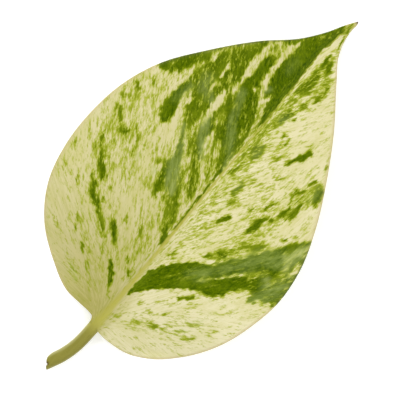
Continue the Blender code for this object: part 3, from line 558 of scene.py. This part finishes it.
def blade_half(side, fraction):
    """One half of the blade's sections: points, and where each lies on the leaf."""
    plan = half_blade(side, fraction, STEP)
    x, y = plan[..., 0], plan[..., 1]
    reach = np.linalg.norm(plan[:, TOP_COLUMNS] - plan[:, 0], axis=-1)[:, None]
    row = fraction[:, None]
    upper = upper_face(side, x, y, row, STEP)
    depth = blade_depth(x, y, STEP, reach)
    height = settle(upper - depth) + LEVEL * depth

    # The last bit of each section gives the way out over the margin.
    ends = half_blade(side, fraction, np.array([0.96, 1.0]))
    outward = (ends[:, 1] - ends[:, 0]) / np.linalg.norm(ends[:, 1] - ends[:, 0], axis=-1)[:, None]
    bulge = MARGIN_BULGE * ((ROUND > 0) & (ROUND < 3))
    place = plan + bulge[:, None] * outward[:, None, :]
    return {
        "point": np.concatenate([place, height[..., None]], axis=-1),
        "top_map": plan + ROUND_WIDTH * ROUND[:, None] * outward[:, None, :],
        "under_map": plan + ROUND_WIDTH * (3 - ROUND)[:, None] * outward[:, None, :],
        "flank": 0 * x,
        "inside": (1 - STEP) * reach,
        "under": 1 - LEVEL + 0 * x,
        "stalk": 0 * x,
    }


def petiole_half(side):
    """One half of the petiole's sections, from its oblique cut to the blade: an oval round its
    axis with a shallow channel along the top.  The cut is ragged: its two sides are cut back by the
    fourth power of the place across it, and it has a nick beside the middle."""
    s = np.linspace(0.0, 1.0, PETIOLE_ROWS)[:, None]
    axis = along(PETIOLE_AXIS, s[:, 0])
    turn = np.radians(JUNCTION_ANGLE + (CUT_ANGLE - JUNCTION_ANGLE) * (1 - s) ** 3)
    half_width = PETIOLE_HALF_WIDTH + (CUT_HALF_WIDTH - PETIOLE_HALF_WIDTH) * (1 - s) ** 3
    out, lift = np.sin(PETIOLE_TURN), np.cos(PETIOLE_TURN)
    across = np.stack([np.cos(turn), np.sin(turn)], axis=-1)
    middle = reading(MIDRIB_HEIGHT, axis[:, 1:]) - (1 - CHANNEL_DEPTH) * PETIOLE_HALF_HEIGHT
    channel = 1 - CHANNEL_DEPTH * np.exp(-((out / CHANNEL_HALF_WIDTH) ** 2))
    top = middle + PETIOLE_HALF_HEIGHT * lift * channel
    height = np.where(lift > 0, top, settle(middle + PETIOLE_HALF_HEIGHT * lift))
    unroll = 1 - 0.75 * smoothstep(0.75, 1.0, s)  # the map narrows to the blade's first section
    plan = axis[:, None, :] + side * (half_width * out)[..., None] * across
    place = side * out
    cut_back = np.where(place < 0, CUT_BACK[-1], CUT_BACK[1]) * place**4
    nick = NICK_DEPTH * np.exp(-(((place - NICK_PLACE) / NICK_HALF_WIDTH) ** 2))
    inward = np.stack([-np.sin(turn), np.cos(turn)], axis=-1)
    plan = plan + ((cut_back + nick) * (1 - s) ** 6)[..., None] * inward
    from_top = out + unroll * (PETIOLE_TURN - out)
    from_below = out + unroll * (np.pi - PETIOLE_TURN - out)
    return {
        "point": np.concatenate([plan, height[..., None]], axis=-1),
        "top_map": axis[:, None, :] + side * (half_width * from_top)[..., None] * across,
        "under_map": axis[:, None, :] + side * (half_width * from_below)[..., None] * across,
        "flank": place + 0 * height,
        "inside": FAR_INSIDE + 0 * height,
        "under": 1 - LEVEL + 0 * height,
        "stalk": 1 + 0 * height,
    }


def leaf_rings():
    """All sections from the cut to the tip as full rings: up the left half and down the right."""
    fraction = 1 - (1 - np.arange(ROWS) / ROWS) ** SECTION_CROWDING
    rings = {}
    stalk = {side: petiole_half(side) for side in (-1, 1)}
    blade = {side: blade_half(side, fraction) for side in (-1, 1)}
    for key in blade[1]:
        left = np.concatenate([stalk[-1][key], blade[-1][key]])[:, ::-1]
        right = np.concatenate([stalk[1][key], blade[1][key]])[:, 1:-1]
        rings[key] = np.concatenate([left, right], axis=1)
    return rings


def cut_face(ring):
    """The cut end as rings that close in on its middle.  They are sunk by the core's depth times 1
    less the ring's share to the fourth, so the edge stands proud, and by a small wave that turns
    round the core.  Returns the rings' points, the middle point, and the outer ring and the others
    laid flat."""
    middle = ring.mean(axis=0)
    level_way = np.array([np.cos(np.radians(CUT_ANGLE)), np.sin(np.radians(CUT_ANGLE)), 0.0])
    inward = np.array([-level_way[1], level_way[0], 0.0])
    spoke = ring - middle
    flat = np.stack([spoke @ level_way, spoke[:, 2]], axis=-1)
    angle = np.arctan2(flat[:, 1], flat[:, 0])
    shares = CUT_SHARES[:, None]
    depth = CORE_DEPTH * (1 - shares**4) + CORE_UNEVEN * np.sin(5 * angle + 9 * shares) * shares
    points = middle + shares[..., None] * spoke + depth[..., None] * inward
    laid = np.concatenate([flat[None], shares[..., None] * flat])
    return points, middle + CORE_DEPTH * inward, laid


def leaf_mesh():
    """Joins the sections into one closed surface, lays its map out and notes on every point where
    it lies on the leaf."""
    rings = leaf_rings()
    count, size = rings["point"].shape[:2]
    tip = np.array([*along(LEFT_MARGIN, [1.0])[0], 0.5 * MARGIN_THICKNESS])
    cut_points, cut_middle, cut_flat = cut_face(rings["point"][0])
    points = np.concatenate([rings["point"].reshape(-1, 3), cut_points.reshape(-1, 3),
                             [cut_middle], [tip]])
    index = np.arange(count * size).reshape(count, size)
    turned = np.roll(index, -1, axis=1)
    wall = np.stack([index[:-1], turned[:-1], turned[1:], index[1:]], axis=-1).reshape(-1, 4)
    cut_rings = count * size + np.arange(cut_points[..., 0].size).reshape(-1, size)
    cut_index = np.concatenate([index[:1], cut_rings])
    cut_turned = np.roll(cut_index, -1, axis=1)
    cut_wall = np.stack([cut_index[:-1], cut_index[1:], cut_turned[1:], cut_turned[:-1]], axis=-1)
    cut_wall = cut_wall.reshape(-1, 4)
    middle, last = len(points) - 2, len(points) - 1
    core = np.stack([cut_index[-1], np.full(size, middle), cut_turned[-1]], axis=-1)
    end = np.stack([index[-1], turned[-1], np.full(size, last)], axis=-1)

    # Which columns of faces belong to the top's map: all between the two outermost round points.
    over = np.arange(size)
    on_top = (over >= UNDER_COLUMNS + 1) & (over < size - UNDER_COLUMNS - 1)
    top_map = (rings["top_map"] + TOP_ORIGIN) / MAP_SIZE
    under_map = (rings["under_map"] * [-1, 1] + UNDER_ORIGIN) / MAP_SIZE
    tip_top = (tip[:2] + TOP_ORIGIN) / MAP_SIZE
    tip_under = (tip[:2] * [-1, 1] + UNDER_ORIGIN) / MAP_SIZE
    flat_top, flat_under = top_map.reshape(-1, 2), under_map.reshape(-1, 2)
    wall_top = np.tile(on_top, count - 1)[:, None, None]
    wall_map = np.where(wall_top, flat_top[wall], flat_under[wall])
    cut_map = (np.concatenate([cut_flat.reshape(-1, 2), [[0.0, 0.0]]]) + CUT_ORIGIN) / MAP_SIZE
    ring_number = np.arange(len(cut_map) - 1).reshape(-1, size)
    ring_turned = np.roll(ring_number, -1, axis=1)
    cut_wall_map = cut_map[np.stack([ring_number[:-1], ring_number[1:], ring_turned[1:],
                                     ring_turned[:-1]], axis=-1).reshape(-1, 4)]
    core_map = cut_map[np.stack([ring_number[-1], np.full(size, len(cut_map) - 1),
                                 ring_turned[-1]], axis=-1)]
    end_map = np.where(on_top[:, None, None], flat_top[end[:, :2]], flat_under[end[:, :2]])
    end_tip = np.where(on_top[:, None], tip_top, tip_under)[:, None]
    end_map = np.concatenate([end_map, end_tip], axis=1)

    low, high = points.min(axis=0), points.max(axis=0)
    centre = (Vector(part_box("leaf")[0]) + Vector(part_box("leaf")[1])) / 2
    offset = np.array([centre.x / MM - (low[0] + high[0]) / 2,
                       centre.y / MM - (low[1] + high[1]) / 2,
                       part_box("leaf")[0][2] / MM - low[2]])
    faces = wall.tolist() + cut_wall.tolist() + core.tolist() + end.tolist()
    mesh = bpy.data.meshes.new("pothos_leaf")
    mesh.from_pydata(((points + offset) * MM).tolist(), [], faces)
    maps = (wall_map, cut_wall_map, core_map, end_map)
    corner_map = np.concatenate([part.reshape(-1, 2) for part in maps])
    mesh.uv_layers.new(name="OFBake").data.foreach_set("uv", corner_map.astype(np.float32).ravel())
    mesh.shade_smooth()

    # The points after the rings are the cut face's, and the last is the tip.
    note = {}
    for key in ("flank", "inside", "under", "stalk"):
        value = rings[key].reshape(count * size, -1)
        extra = np.zeros((len(points) - count * size, value.shape[1]))
        note[key] = np.concatenate([value, extra])
    note["inside"][count * size:] = FAR_INSIDE
    note["inside"][-1] = 0.0
    note["stalk"][count * size:-1] = 1.0
    share = np.repeat(np.concatenate([CUT_SHARES, [0.0]]), [size] * len(CUT_SHARES) + [1])
    note["cut"] = np.zeros(len(points))
    note["cut"][count * size:-1] = 1.0 - 0.7 * share  # faint at its edge and full in its middle
    return mesh, points, note


def write_note(mesh, name, value):
    """Stores one number, or one vector, for every point of the mesh."""
    kind, field = ("FLOAT_VECTOR", "vector") if value.ndim == 2 else ("FLOAT", "value")
    layer = mesh.attributes.new(name, kind, "POINT")
    layer.data.foreach_set(field, value.astype(np.float32).ravel())


# ------------------------------------------------------------------ the leaf's notes

# The veins leave the midrib at one angle and fan out from the petiole below; further out they turn
# back towards the tip.
VEIN_ANGLE = 30.0
FAN_FROM = -2.0  # where on the leaf's length the fan has its middle
FAN_SHARE = {-1: 1.3, 1: 1.2}
TURN_BACK = {-1: 18.0, 1: 40.0}
TURN_BACK_OVER = 35.0
LOW_TURN_BACK = 0.35  # the share of it that the right half has below the two places that follow
LOW_TO_HIGH = (38.0, 60.0)
BESIDE_MIDRIB = (-2.0, 5.0)  # the veins' angle comes in from the midrib's over this distance off it
NOISE_WAYS = (8.0, 32.0, 58.0, 88.0)  # the ways, off the midrib's, that the grain's noises run
NOISES_APART = 20.0  # from one way's noise to the next one's, so that they aren't alike
HALVES_APART = 2.5  # how far each half's grain is moved through its noise, so they aren't alike
HALVES_PART_OVER = 2.0

# Where the masks change.  Each pair is where the change starts and ends, in millimetres.
# The cream is painted darker and warmer as shade: over the left half, and at a share of that over
# the upper right half.
PAINTED_SHADE_LEFT = (2.0, -3.0)
PAINTED_SHADE_RIGHT = (3.0, 8.0)
PAINTED_SHADE_RIGHT_ABOVE = (24.0, 46.0)
PAINTED_SHADE_RIGHT_SHARE = 0.5
OLIVE_MIDDLE = (-4.0, 0.0)
OLIVE_REACH = 26.0
OLIVE_RIGHT = (1.0, 7.0)
OLIVE_RIGHT_LESS = 0.75
OLIVE_TIP = (106.0, 113.0)
OLIVE_TIP_SHARE = 0.5
RIB_EDGE = (1.6, 0.4)  # over the band's half width
RIB_FADE = (55.0, 92.0)
RIB_FADE_BY = 0.65
KEEL_SEEN = 0.9  # the band's half width on the underside, over the keel's
RIM_EDGE = (0.9, 0.2)
RIM_START = (1.0, -1.5)  # where the margins meet the petiole, and there is no rim close to it
RIM_FREE = (2.5, 5.0)
STALK_END = (0.5, -6.5)
STALK_EDGE = (1.5, 0.6)  # over the petiole's half width

BAND_HALF_WIDTH = [(-3.0, 1.8), (3.0, 1.2), (9.0, 0.85), (18.0, 0.65), (30.0, 0.48), (45.0, 0.36),
                   (60.0, 0.27), (115.5, 0.14)]
SCARS = [(0.0, 115.6, 0.2, 1.1), (-2.3, -19.9, 3.4, 1.0)]  # where tip and cut are dry, how far out


def vein_ways(side, off, y):
    """How much of each of the grain's ways there is at a place.  The veins' angle off the midrib is
    the fourth root of two fourth powers added up: of the midrib veins' angle, and of the half's
    share of the fan's.  It is less the turn back, which grows as the distance off the midrib to
    the power 1.5 and is weaker low on the right half, and beside the midrib it is cut down by a
    smooth step.  The two ways nearest to it share it, and the squares of all shares add up to 1."""
    fan = np.degrees(np.arctan2(off, y - FAN_FROM))
    share = np.where(side < 0, FAN_SHARE[-1], FAN_SHARE[1])
    right_back = LOW_TURN_BACK + (1 - LOW_TURN_BACK) * smoothstep(*LOW_TO_HIGH, y)
    back = np.where(side < 0, TURN_BACK[-1], TURN_BACK[1] * right_back)
    back = back * (off / TURN_BACK_OVER) ** 1.5
    angle = (VEIN_ANGLE**4 + (share * fan) ** 4) ** 0.25 - back
    angle = np.clip(angle * smoothstep(*BESIDE_MIDRIB, off), NOISE_WAYS[0], NOISE_WAYS[-1])
    peaks = np.eye(len(NOISE_WAYS))
    shares = np.stack([np.interp(angle, NOISE_WAYS, peak) for peak in peaks], axis=-1)
    return shares / np.linalg.norm(shares, axis=-1, keepdims=True)


def paint_leaf(mesh, points, note):
    """Works out each point's tissue.  Green and silver are the strokes; the silver is partly
    grey-green tissue and partly a painted sheen.  The cream is painted darker and warmer as shade
    on the left half, and less so on the upper right half from a little off the midrib.  Olive falls
    off round the base: it is e to minus the 1.3th power of the distance over its reach, with less
    on the right half, and some comes back at the tip.  The masks are smooth steps: the rib's
    across a band, which is the keel on the underside and on top fades towards the tip, and all
    over the petiole; the rim's in from the margin; the stalk's along the base and the petiole; and
    brown round the scars.  The grain's place is the distance off the midrib, the place along the
    leaf, and a third part that is 1 less e to minus the distance, times what keeps the halves
    apart."""
    x, y = points[:, 0], points[:, 1]
    across = x - reading(MIDRIB_ACROSS, y)
    off, side = np.abs(across), np.sign(across)
    under, inside, petiole = (note[key][:, 0] for key in ("under", "inside", "stalk"))

    # painted shade: the cream darkens and warms over the left half and, less, the upper right half
    painted_shade = PAINTED_SHADE_RIGHT_SHARE * smoothstep(*PAINTED_SHADE_RIGHT, x) * smoothstep(*PAINTED_SHADE_RIGHT_ABOVE, y)
    from_base = np.hypot(x - OLIVE_MIDDLE[0], y - OLIVE_MIDDLE[1])
    olive = np.exp(-((from_base / OLIVE_REACH) ** 1.3))
    olive = olive * (1 - OLIVE_RIGHT_LESS * smoothstep(*OLIVE_RIGHT, x))

    band = reading(BAND_HALF_WIDTH, y)
    keel = PETIOLE_HALF_WIDTH * (1 - MIDRIB_TAPER * y / BLADE_LENGTH)
    width = band + under * (KEEL_SEEN * keel - band)
    rib = smoothstep(*RIB_EDGE, off / width)
    rib = rib * (1 - RIB_FADE_BY * smoothstep(*RIB_FADE, y) * (1 - under))
    from_start = np.hypot(x - RIM_START[0], y - RIM_START[1])
    on_axis = np.maximum(petiole, smoothstep(*STALK_EDGE, off / PETIOLE_HALF_WIDTH))
    brown = [smoothstep(reach, 0.4 * reach, np.linalg.norm(points - scar, axis=-1))
             for *scar, reach in SCARS]

    ways = vein_ways(side, off, y)
    apart = HALVES_APART * side * (1 - np.exp(-off / HALVES_PART_OVER))
    notes = {
        "green": painted(MARBLING, x, y),
        "silver_and_sheen": painted(SILVER_AND_SHEEN, x, y),
        "painted_shade": np.maximum(smoothstep(*PAINTED_SHADE_LEFT, x), painted_shade),
        "olive": olive + OLIVE_TIP_SHARE * smoothstep(*OLIVE_TIP, y),
        "rib": np.maximum(rib, petiole) * (1 - note["cut"]),
        "rim": smoothstep(*RIM_EDGE, inside) * smoothstep(*RIM_FREE, from_start),
        "under": under,
        "stalk": smoothstep(*STALK_END, y) * on_axis,
        "cut": note["cut"],
        "ways": ways[:, :-1],
        "last_way": ways[:, -1],
        "place": np.stack([off, y, apart], axis=-1),
        "flank": note["flank"][:, 0],
        "brown": np.max(brown, axis=0),
    }
    for name, value in notes.items():
        write_note(mesh, name, value)


# ------------------------------------------------------------------ materials

def linear(red, green, blue):
    """A display colour, each part out of 255, as the linear values that a shader takes."""
    shares = [part / 255.0 for part in (red, green, blue)]
    levels = [c / 12.92 if c <= 0.04045 else ((c + 0.055) / 1.055) ** 2.4 for c in shares]
    return (*levels, 1.0)


def node(tree, kind, **values):
    """A new shader node with the given settings and input values."""
    made = tree.nodes.new(kind)
    for name, value in values.items():
        if hasattr(made, name):
            setattr(made, name, value)
        else:
            made.inputs[name.replace("_", " ").title()].default_value = value
    return made


def note_of(tree, name, vector=False):
    """Reads one of the leaf's notes."""
    made = node(tree, "ShaderNodeAttribute", attribute_name=name)
    return made.outputs["Vector" if vector else "Fac"]


def fit(tree, value, low, high, to_low=0.0, to_high=1.0, smooth=False):
    """Moves a value from one range to another, held inside it."""
    made = node(tree, "ShaderNodeMapRange", interpolation_type="SMOOTHSTEP" if smooth else "LINEAR")
    ends = {"From Min": low, "From Max": high, "To Min": to_low, "To Max": to_high}
    for name, number in ends.items():
        if hasattr(number, "node"):
            tree.links.new(number, made.inputs[name])
        else:
            made.inputs[name].default_value = number
    tree.links.new(value, made.inputs["Value"])
    return made.outputs["Result"]


def maths(tree, operation, a, b):
    """One operation on two values, either of which may be a number."""
    made = node(tree, "ShaderNodeMath", operation=operation)
    for socket, value in zip(made.inputs, (a, b)):
        if hasattr(value, "node"):
            tree.links.new(value, socket)
        else:
            socket.default_value = value
    return made.outputs["Value"]


def times(tree, a, b):
    """The product of two values."""
    return maths(tree, "MULTIPLY", a, b)


def blend(tree, share, first, second):
    """Mixes two colours, each a socket or a colour, by a share."""
    made = node(tree, "ShaderNodeMix", data_type="RGBA")
    factor, a, b = made.inputs[0], made.inputs[6], made.inputs[7]
    for socket, value in ((factor, share), (a, first), (b, second)):
        if hasattr(value, "node"):
            tree.links.new(value, socket)
        else:
            socket.default_value = value
    return made.outputs[2]


def noise(tree, vector, scale, detail, roughness, stretch):
    """Soft noise on the given coordinates, which are first stretched along each of them."""
    mapping = node(tree, "ShaderNodeMapping")
    mapping.inputs["Scale"].default_value = stretch
    tree.links.new(vector, mapping.inputs["Vector"])
    made = node(tree, "ShaderNodeTexNoise", normalize=True)
    made.inputs["Scale"].default_value = scale
    made.inputs["Detail"].default_value = detail
    made.inputs["Roughness"].default_value = roughness
    tree.links.new(mapping.outputs["Vector"], made.inputs["Vector"])
    return made.outputs["Fac"]


def vein_noise_group():
    """Grain drawn out along the veins: noises that each run one of the set ways, as wide across it
    and as long along it as asked, weighed by how much of that way there is at the place.  The
    weights' squares add up to one, so the mix is as strong as a single noise."""
    group = bpy.data.node_groups.new("vein_noise", "ShaderNodeTree")
    for name in ("Place", "Ways"):
        group.interface.new_socket(name, in_out="INPUT", socket_type="NodeSocketVector")
    for name in ("Last Way", "Across", "Along", "Detail", "Roughness"):
        group.interface.new_socket(name, in_out="INPUT", socket_type="NodeSocketFloat")
    group.interface.new_socket("Noise", in_out="OUTPUT", socket_type="NodeSocketFloat")
    given = group.nodes.new("NodeGroupInput").outputs
    size = node(group, "ShaderNodeCombineXYZ", Z=1.0)
    group.links.new(given["Across"], size.inputs["X"])
    group.links.new(given["Along"], size.inputs["Y"])
    first_ways = node(group, "ShaderNodeSeparateXYZ")
    group.links.new(given["Ways"], first_ways.inputs[0])
    total = 0.5
    for number, way in enumerate(NOISE_WAYS):
        turned = node(group, "ShaderNodeMapping", vector_type="TEXTURE")
        turned.inputs["Location"].default_value = (0.0, 0.0, NOISES_APART * number)
        turned.inputs["Rotation"].default_value = (0.0, 0.0, -np.radians(way))
        group.links.new(given["Place"], turned.inputs["Vector"])
        group.links.new(size.outputs[0], turned.inputs["Scale"])
        made = node(group, "ShaderNodeTexNoise", normalize=True, Scale=1.0)
        for name in ("Detail", "Roughness"):
            group.links.new(given[name], made.inputs[name])
        group.links.new(turned.outputs[0], made.inputs["Vector"])
        weight = given["Last Way"] if way == NOISE_WAYS[-1] else first_ways.outputs[number]
        swing = maths(group, "SUBTRACT", made.outputs["Fac"], 0.5)
        total = maths(group, "ADD", total, times(group, swing, weight))
    group.links.new(total, group.nodes.new("NodeGroupOutput").inputs["Noise"])
    return group


def leaf_tissue():
    """Cream tissue marbled with green, with silver that is partly tissue where clear cells lie over
    it and partly a painted sheen, under a thin wax.  A place's green part is 0.5, plus 2.4 times
    its green share less the grain's level, and each colour comes in over its own range of that
    part."""
    material = bpy.data.materials.new("leaf_tissue")
    material.use_nodes = True
    tree = material.node_tree
    surface = tree.nodes["Principled BSDF"]
    along_veins = vein_noise_group()

    def grain(across, along, detail=3.0, roughness=0.6):
        """Noise along the veins, across and along in millimetres."""
        made = node(tree, "ShaderNodeGroup", node_tree=along_veins, Across=across, Along=along,
                    Detail=detail, Roughness=roughness)
        tree.links.new(note_of(tree, "place", vector=True), made.inputs["Place"])
        tree.links.new(note_of(tree, "ways", vector=True), made.inputs["Ways"])
        tree.links.new(note_of(tree, "last_way"), made.inputs["Last Way"])
        return made.outputs["Noise"]

    # The green is where its share is over the level of the grain, half streaks and half flecks.
    green = note_of(tree, "green")
    streak = grain(0.8, 4.0)
    fleck = grain(0.45, 1.5, 3.0, 0.62)
    mixed = maths(tree, "ADD", times(tree, streak, 0.5), times(tree, fleck, 0.5))
    level = fit(tree, mixed, 0.37, 0.63, 0.04, 0.96)
    part = maths(tree, "ADD", times(tree, maths(tree, "SUBTRACT", green, level), 2.4), 0.5)

    # Cream with a faint haze of green and finer green hairs.  It is painted darker and warmer as
    # shade on the left half and, less so, over most of the right one, and olive towards the petiole
    # and at the tip.
    cream = blend(tree, note_of(tree, "painted_shade"), linear(223, 216, 177), linear(212, 204, 158))
    cloud = grain(3.3, 10.0, 3.0, 0.5)
    hair = grain(0.3, 7.0, 2.0, 0.5)
    haze = times(tree, fit(tree, cloud, 0.4, 0.68, 0.05, 0.65),
                 fit(tree, fleck, 0.35, 0.65, 0.3, 1.0))
    cream = blend(tree, haze, cream, linear(194, 190, 112))
    cream = blend(tree, fit(tree, hair, 0.52, 0.66, 0.0, 0.3), cream, linear(182, 178, 92))
    olive = blend(tree, fit(tree, hair, 0.4, 0.62), linear(165, 156, 87), linear(148, 144, 66))
    cream = blend(tree, times(tree, note_of(tree, "olive"), 0.9), cream, olive)

    # From cream through yellow-green to deep green, which is itself mottled.
    pale = blend(tree, note_of(tree, "olive"), linear(172, 177, 68), linear(151, 150, 70))
    tissue = blend(tree, fit(tree, part, -0.65, 0.45, smooth=True), cream, pale)
    middle = times(tree, fit(tree, part, 0.05, 0.9, smooth=True),
                   fit(tree, green, 0.1, 0.6, 0.5, 1.0))
    tissue = blend(tree, middle, tissue, linear(134, 148, 22))
    shade = grain(0.5, 1.2, 4.0, 0.7)
    deep = blend(tree, fit(tree, shade, 0.38, 0.62), linear(53, 77, 0), linear(90, 110, 1))
    deep = blend(tree, fit(tree, cloud, 0.5, 0.66, 0.0, 0.3), deep, linear(116, 134, 20))
    depth = fit(tree, part, 0.45, 1.35, smooth=True)
    solid = fit(tree, green, 0.86, 1.0, 0.0, 0.5)
    depth = maths(tree, "ADD", depth, times(tree, solid, maths(tree, "SUBTRACT", 1.0, depth)))
    depth = times(tree, depth, fit(tree, green, 0.35, 0.95, 0.25, 1.0))
    tissue = blend(tree, depth, tissue, deep)

    # The silver cells, with the painted sheen that they carry, are greener and darker over solid
    # green, and lie in streaks.
    silver_sheen_streaks = grain(0.8, 5.0, 3.0, 0.6)
    silver_and_sheen = times(tree, note_of(tree, "silver_and_sheen"), fit(tree, silver_sheen_streaks, 0.36, 0.6, 0.3, 1.0))
    silver_sheen_colour = blend(tree, fit(tree, green, 0.6, 0.95), linear(178, 184, 112), linear(124, 141, 62))
    silver_sheen_colour = blend(tree, fit(tree, shade, 0.5, 0.66, 0.0, 0.6), silver_sheen_colour, linear(158, 168, 92))
    tissue = blend(tree, silver_and_sheen, tissue, silver_sheen_colour)

    # The midrib, the petiole with its flanks painted paler as a highlight, the left one most, the
    # margin, the underside and the cut.
    rib = times(tree, note_of(tree, "rib"), fit(tree, hair, 0.4, 0.6, 0.95, 0.7))
    tissue = blend(tree, rib, tissue, linear(170, 165, 72))
    position = node(tree, "ShaderNodeTexCoord").outputs["Object"]
    fibre = noise(tree, position, 900.0, 3.0, 0.6, stretch=(1.0, 0.12, 1.0))
    stalk = blend(tree, fibre, linear(122, 118, 46), linear(146, 141, 68))
    flank = note_of(tree, "flank")
    # painted highlight: the left flank, which faces the strongest softbox, is much paler, and the
    # right one a little
    stalk = blend(tree, fit(tree, flank, -0.5, -1.0), stalk, linear(176, 172, 116))
    stalk = blend(tree, fit(tree, flank, 0.75, 1.0), stalk, linear(152, 150, 98))
    tissue = blend(tree, note_of(tree, "stalk"), tissue, stalk)
    rim = times(tree, note_of(tree, "rim"), fit(tree, green, 0.2, 0.9, 0.6, 0.1))
    tissue = blend(tree, rim, tissue, linear(190, 174, 126))
    tissue = blend(tree, times(tree, note_of(tree, "under"), 0.35), tissue, linear(188, 192, 150))
    tissue = blend(tree, note_of(tree, "cut"), tissue, linear(168, 156, 98))
    tissue = blend(tree, note_of(tree, "brown"), tissue, linear(92, 74, 46))
    tree.links.new(tissue, surface.inputs["Base Color"])
    tree.links.new(fit(tree, fleck, 0.3, 0.7, 0.27, 0.35), surface.inputs["Roughness"])
    surface.inputs["Metallic"].default_value = 0.0
    surface.inputs["Specular IOR Level"].default_value = 0.03
    bump = node(tree, "ShaderNodeBump", Strength=0.25, Distance=0.0001)
    tree.links.new(maths(tree, "ADD", streak, fleck), bump.inputs["Height"])
    tree.links.new(bump.outputs["Normal"], surface.inputs["Normal"])
    return material


# ------------------------------------------------------------------ the leaf, the table, the light

mesh, leaf_points, leaf_note = leaf_mesh()
paint_leaf(mesh, leaf_points, leaf_note)
mesh.materials.append(leaf_tissue())
leaf = bpy.data.objects.new("pothos_leaf", mesh)
bpy.context.scene.collection.objects.link(leaf)
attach(leaf, "root")
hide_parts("leaf")

# Where the leaf's own zero lies in the frame, and the camera's view in metres.
leaf_zero = Vector(mesh.vertices[0].co) - Vector(leaf_points[0]) * MM
VIEW_UP = Vector((-0.6613, 0.7501, 0.0)).normalized()
VIEW_RIGHT = Vector((VIEW_UP.y, -VIEW_UP.x, 0.0))
VIEW_WIDTH = 116.8 * MM
VIEW_MIDDLE = leaf_zero + Vector((-0.2, 45.7, 6.0)) * MM
CAMERA_HEIGHT = 1.6
TABLE_HALF_SIZE = 3.0
SOFTBOX_COUNT = 6  # in a ring round the leaf, and the first is the strongest
SOFTBOX_FIRST_WAY = 30.0
SOFTBOX_HEIGHT = 0.7
SOFTBOX_DISTANCE = 1.0
SOFTBOX_SIZE = 0.9
KEY_POWER = 8.4
FILL_POWER = 4.7


def look_down():
    """A long lens straight above the leaf, turned so that the leaf's tip points up to the right.
    Its focal length is the sensor's width times the camera's height, over the view's width."""
    lens = bpy.data.cameras.new("camera")
    lens.sensor_width = 36.0
    lens.lens = lens.sensor_width * CAMERA_HEIGHT / VIEW_WIDTH
    camera = bpy.data.objects.new("camera", lens)
    camera.location = VIEW_MIDDLE + Vector((0.0, 0.0, CAMERA_HEIGHT))
    turned = Matrix((VIEW_RIGHT, VIEW_UP, (0.0, 0.0, 1.0))).transposed()
    camera.rotation_euler = turned.to_euler()
    bpy.context.scene.collection.objects.link(camera)
    bpy.context.scene.camera = camera


def table():
    """A plain white table top, lit a little from below as a light table is."""
    half = TABLE_HALF_SIZE
    corners = [(-half, -half, 0), (half, -half, 0), (half, half, 0), (-half, half, 0)]
    top = bpy.data.meshes.new("table")
    top.from_pydata(corners, [], [(0, 1, 2, 3)])
    white = bpy.data.materials.new("table_white")
    white.use_nodes = True
    surface = white.node_tree.nodes["Principled BSDF"]
    surface.inputs["Base Color"].default_value = (0.9, 0.9, 0.9, 1.0)
    surface.inputs["Roughness"].default_value = 0.9
    surface.inputs["Specular IOR Level"].default_value = 0.1
    surface.inputs["Emission Color"].default_value = (1.0, 1.0, 1.0, 1.0)
    surface.inputs["Emission Strength"].default_value = 0.35
    top.materials.append(white)
    made = bpy.data.objects.new("table", top)
    bpy.context.scene.collection.objects.link(made)


def softbox(name, way, power):
    """A square light that faces the leaf from a way round it, in degrees from the view's up."""
    light = bpy.data.lights.new(name, "AREA")
    light.shape = "SQUARE"
    light.size = SOFTBOX_SIZE
    light.energy = power
    made = bpy.data.objects.new(name, light)
    turned = Matrix.Rotation(np.radians(way), 3, "Z") @ VIEW_UP
    made.location = leaf_zero + turned * SOFTBOX_DISTANCE + Vector((0.0, 0.0, SOFTBOX_HEIGHT))
    made.rotation_euler = (made.location - leaf_zero).to_track_quat("Z", "Y").to_euler()
    bpy.context.scene.collection.objects.link(made)


look_down()
table()
for turn in range(SOFTBOX_COUNT):
    way = SOFTBOX_FIRST_WAY + 360.0 / SOFTBOX_COUNT * turn
    softbox(f"softbox_{turn}", way, KEY_POWER if turn == 0 else FILL_POWER)
world = bpy.data.worlds.new("studio")
world.use_nodes = True
world.node_tree.nodes["Background"].inputs["Color"].default_value = (1.0, 1.0, 1.0, 1.0)
world.node_tree.nodes["Background"].inputs["Strength"].default_value = 0.14
bpy.context.scene.world = world
bpy.context.scene.view_settings.view_transform = "Standard"
